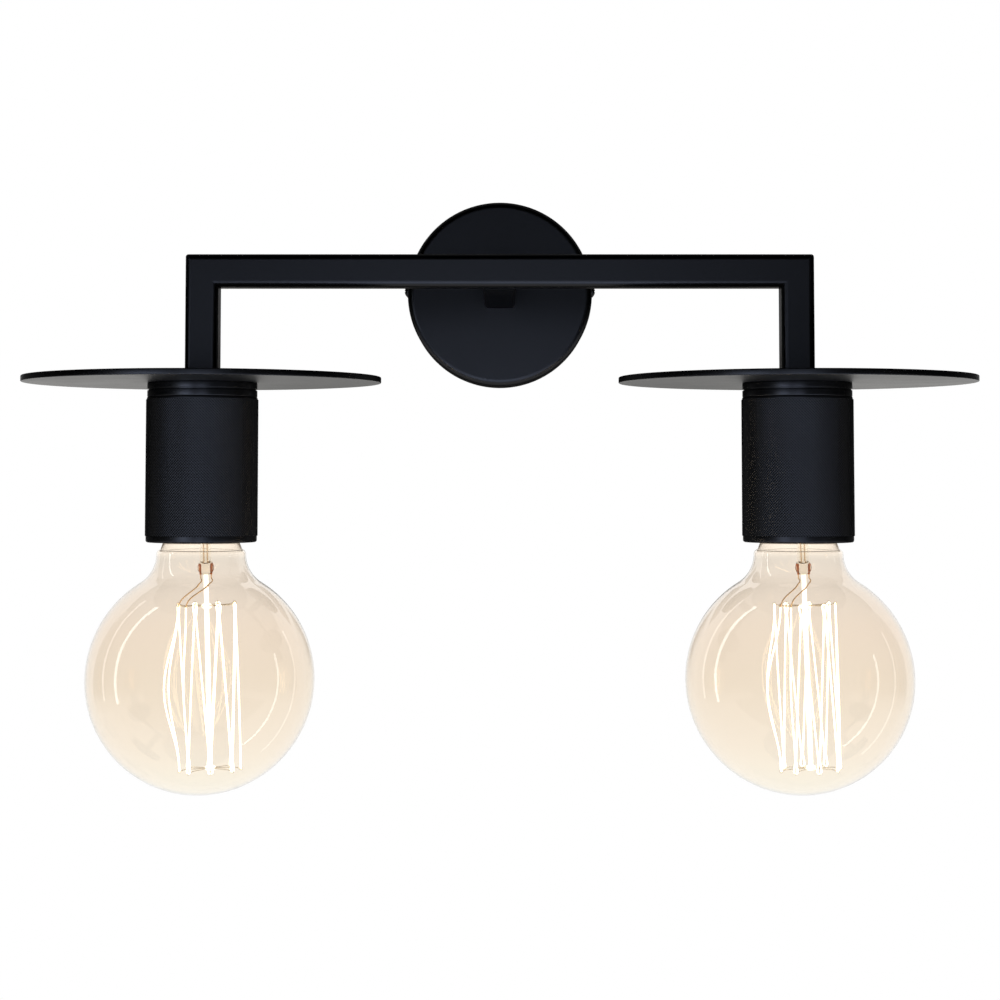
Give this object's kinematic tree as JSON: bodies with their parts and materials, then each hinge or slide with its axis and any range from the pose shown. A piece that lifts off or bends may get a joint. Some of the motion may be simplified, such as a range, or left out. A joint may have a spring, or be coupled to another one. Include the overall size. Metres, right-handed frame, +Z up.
{
  "type": "wall light",
  "caption": "Wall light with a round backplate, a square-tube cross bar with drop tubes, flat disc shades, knurled lampholders and globe filament bulbs",
  "frame": {"origin": "centre of the backplate on the wall plane, halfway between the wall slots", "axes": "+X along the cross bar to the right seen from the front, +Y into the wall, +Z up"},
  "size_m": [0.4, 0.2095, 0.2618],
  "materials": {
    "black_coat": "satin",
    "black_knurl": "satin, fine diamond knurl",
    "zinc_steel": "zinc plated",
    "brass": "plain",
    "cap_brass": "rolled",
    "white_nylon": "moulded",
    "green_yellow_wire": "green and yellow",
    "dark_flex": "smooth",
    "porcelain": "glazed",
    "amber_glass": "clear, champagne tint",
    "stem_glass": "clear",
    "black_vitrite": "glassy",
    "solder": "dull",
    "nickel_wire": "drawn wire",
    "glowing_filament": "glowing"
  },
  "bodies": {
    "fixture": {"wall_bracket": "zinc_steel", "backplate": "black_coat", "side_screws": "black_coat", "earth_screw": "brass", "earth_lead": "green_yellow_wire", "terminal_block": "white_nylon", "block_screw": "zinc_steel", "arm_tube": "black_coat", "arm_plug": "zinc_steel", "arm_washer": "zinc_steel", "arm_locknut": "zinc_steel", "cross_bar": "black_coat", "left_drop_tube": "black_coat", "left_drop_plug": "zinc_steel", "left_disc_shade": "black_coat", "left_lock_nut": "zinc_steel", "left_holder_cap": "black_coat", "left_knurled_sleeve": "black_knurl", "left_socket_body": "porcelain", "left_screw_shell": "brass", "left_centre_contact": "brass", "left_terminal_screws": "zinc_steel", "left_flex": "dark_flex", "right_drop_tube": "black_coat", "right_drop_plug": "zinc_steel", "right_disc_shade": "black_coat", "right_lock_nut": "zinc_steel", "right_holder_cap": "black_coat", "right_knurled_sleeve": "black_knurl", "right_socket_body": "porcelain", "right_screw_shell": "brass", "right_centre_contact": "brass", "right_terminal_screws": "zinc_steel", "right_flex": "dark_flex"},
    "left_bulb_slide": {"left_cap_insulator": "black_vitrite", "left_cap_contact": "solder"},
    "left_bulb": {"left_globe": "amber_glass", "left_cap_shell": "cap_brass", "left_stem": "stem_glass", "left_lead_wires": "nickel_wire", "left_support_hooks": "nickel_wire", "left_filament": "glowing_filament"},
    "right_bulb_slide": {"right_cap_insulator": "black_vitrite", "right_cap_contact": "solder"},
    "right_bulb": {"right_globe": "amber_glass", "right_cap_shell": "cap_brass", "right_stem": "stem_glass", "right_lead_wires": "nickel_wire", "right_support_hooks": "nickel_wire", "right_filament": "glowing_filament"}
  },
  "joints": [
    {"name": "left_bulb_drop", "type": "slide", "parent": "fixture", "child": "left_bulb_slide", "axis": [0, 0, -1], "range_m": [0, 0.01816]},
    {"name": "left_bulb_unscrew", "type": "hinge", "parent": "left_bulb_slide", "child": "left_bulb", "pos_m": [-0.125, -0.1345, -0.0803], "axis": [0, 0, -1], "range_deg": [0, 1800]},
    {"name": "right_bulb_drop", "type": "slide", "parent": "fixture", "child": "right_bulb_slide", "axis": [0, 0, -1], "range_m": [0, 0.01816]},
    {"name": "right_bulb_unscrew", "type": "hinge", "parent": "right_bulb_slide", "child": "right_bulb", "pos_m": [0.125, -0.1345, -0.0803], "axis": [0, 0, -1], "range_deg": [0, 1800]}
  ],
  "couplings": [
    {"joint": "left_bulb_drop", "follows": "left_bulb_unscrew", "m_per_rad": 0.00057757},
    {"joint": "right_bulb_drop", "follows": "right_bulb_unscrew", "m_per_rad": 0.00057757}
  ]
}
